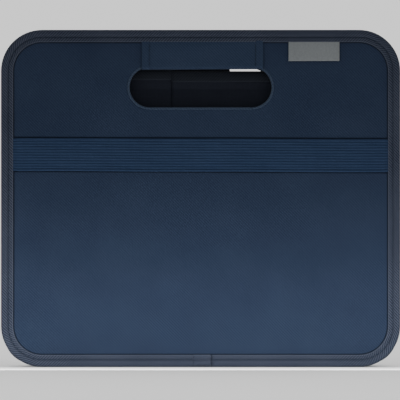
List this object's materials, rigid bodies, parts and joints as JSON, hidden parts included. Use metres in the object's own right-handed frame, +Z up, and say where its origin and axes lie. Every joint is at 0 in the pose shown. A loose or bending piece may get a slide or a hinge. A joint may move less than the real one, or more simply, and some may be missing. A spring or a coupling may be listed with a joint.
{
  "type": "folding fabric storage bin",
  "caption": "Fabric storage bin with rigid handled end panels, folded flat; its floor and side walls unfold together into an open box.",
  "frame": {"origin": "on the ground at the middle of the folded bin", "axes": "+Z up, +X to the right of someone who faces the front panel, -Y out of the front panel"},
  "size_m": [0.325, 0.0604, 0.2745],
  "materials": {
    "cover_fabric": "fine woven, matt",
    "lining_fabric": "woven, matt",
    "binding_tape": "twill tape",
    "elastic": "ribbed",
    "tag_fabric": "plain woven",
    "board": "plain"
  },
  "bodies": {
    "front_panel": {"front_cover": "cover_fabric", "front_board": "board", "front_lining": "lining_fabric", "front_edge_binding": "binding_tape", "front_handle_sleeve": "cover_fabric", "elastic_band": "elastic", "tag": "tag_fabric"},
    "front_floor": {"front_floor_cover": "cover_fabric", "front_floor_board": "board", "front_floor_lining": "lining_fabric"},
    "front_right_wall": {"front_right_wall_cover": "cover_fabric", "front_right_wall_board": "board", "front_right_wall_lining": "lining_fabric", "front_right_wall_top_binding": "binding_tape", "front_right_crease_strip": "cover_fabric"},
    "front_right_lower_corner": {"front_right_gusset": "cover_fabric"},
    "front_left_wall": {"front_left_wall_cover": "cover_fabric", "front_left_wall_board": "board", "front_left_wall_lining": "lining_fabric", "front_left_wall_top_binding": "binding_tape", "front_left_crease_strip": "cover_fabric"},
    "front_left_lower_corner": {"front_left_gusset": "cover_fabric"},
    "rear_panel": {"rear_cover": "cover_fabric", "rear_board": "board", "rear_lining": "lining_fabric", "rear_edge_binding": "binding_tape", "rear_handle_sleeve": "cover_fabric"},
    "rear_floor": {"rear_floor_cover": "cover_fabric", "rear_floor_board": "board", "rear_floor_lining": "lining_fabric"},
    "rear_left_wall": {"rear_left_wall_cover": "cover_fabric", "rear_left_wall_board": "board", "rear_left_wall_lining": "lining_fabric", "rear_left_wall_top_binding": "binding_tape", "rear_left_crease_strip": "cover_fabric"},
    "rear_left_lower_corner": {"rear_left_gusset": "cover_fabric"},
    "rear_right_wall": {"rear_right_wall_cover": "cover_fabric", "rear_right_wall_board": "board", "rear_right_wall_lining": "lining_fabric", "rear_right_wall_top_binding": "binding_tape", "rear_right_crease_strip": "cover_fabric"},
    "rear_right_lower_corner": {"rear_right_gusset": "cover_fabric"}
  },
  "joints": [
    {"name": "floor_unfold", "type": "hinge", "parent": "front_panel", "child": "front_floor", "pos_m": [0, -0.022, 0.0247], "axis": [-1, 0, 0], "range_deg": [0, 90]},
    {"name": "floor_crease", "type": "hinge", "parent": "front_floor", "child": "rear_floor", "pos_m": [0, 0, 0.2017], "axis": [1, 0, 0], "range_deg": [0, 180]},
    {"name": "rear_panel_hinge", "type": "hinge", "parent": "rear_floor", "child": "rear_panel", "pos_m": [0, 0.022, 0.0247], "axis": [-1, 0, 0], "range_deg": [0, 90]},
    {"name": "front_right_wall_hinge", "type": "hinge", "parent": "front_panel", "child": "front_right_wall", "pos_m": [0.154, -0.022, 0.12], "axis": [0, 0, -1], "range_deg": [0, 90], "deforming": ["front_right_crease_strip"]},
    {"name": "front_right_corner_hinge", "type": "hinge", "parent": "front_floor", "child": "front_right_lower_corner", "pos_m": [0.15268, -0.00712, 0.1], "axis": [0, 0, 1], "range_deg": [0, 90], "deforming": ["front_right_gusset"]},
    {"name": "front_left_wall_hinge", "type": "hinge", "parent": "front_panel", "child": "front_left_wall", "pos_m": [-0.154, -0.022, 0.12], "axis": [0, 0, 1], "range_deg": [0, 90], "deforming": ["front_left_crease_strip"]},
    {"name": "front_left_corner_hinge", "type": "hinge", "parent": "front_floor", "child": "front_left_lower_corner", "pos_m": [-0.15268, -0.00712, 0.1], "axis": [0, 0, -1], "range_deg": [0, 90], "deforming": ["front_left_gusset"]},
    {"name": "rear_left_wall_hinge", "type": "hinge", "parent": "rear_panel", "child": "rear_left_wall", "pos_m": [-0.154, 0.022, 0.12], "axis": [0, 0, -1], "range_deg": [0, 90], "deforming": ["rear_left_crease_strip"]},
    {"name": "rear_left_corner_hinge", "type": "hinge", "parent": "rear_floor", "child": "rear_left_lower_corner", "pos_m": [-0.15268, 0.00712, 0.1], "axis": [0, 0, 1], "range_deg": [0, 90], "deforming": ["rear_left_gusset"]},
    {"name": "rear_right_wall_hinge", "type": "hinge", "parent": "rear_panel", "child": "rear_right_wall", "pos_m": [0.154, 0.022, 0.12], "axis": [0, 0, 1], "range_deg": [0, 90], "deforming": ["rear_right_crease_strip"]},
    {"name": "rear_right_corner_hinge", "type": "hinge", "parent": "rear_floor", "child": "rear_right_lower_corner", "pos_m": [0.15268, 0.00712, 0.1], "axis": [0, 0, -1], "range_deg": [0, 90], "deforming": ["rear_right_gusset"]}
  ],
  "couplings": [
    {"joint": "floor_crease", "follows": "floor_unfold", "ratio": 2},
    {"joint": "rear_panel_hinge", "follows": "floor_unfold", "ratio": 1},
    {"joint": "front_right_wall_hinge", "follows": "floor_unfold", "ratio": 1},
    {"joint": "front_right_corner_hinge", "follows": "floor_unfold", "ratio": 1},
    {"joint": "front_left_wall_hinge", "follows": "floor_unfold", "ratio": 1},
    {"joint": "front_left_corner_hinge", "follows": "floor_unfold", "ratio": 1},
    {"joint": "rear_left_wall_hinge", "follows": "floor_unfold", "ratio": 1},
    {"joint": "rear_left_corner_hinge", "follows": "floor_unfold", "ratio": 1},
    {"joint": "rear_right_wall_hinge", "follows": "floor_unfold", "ratio": 1},
    {"joint": "rear_right_corner_hinge", "follows": "floor_unfold", "ratio": 1}
  ]
}
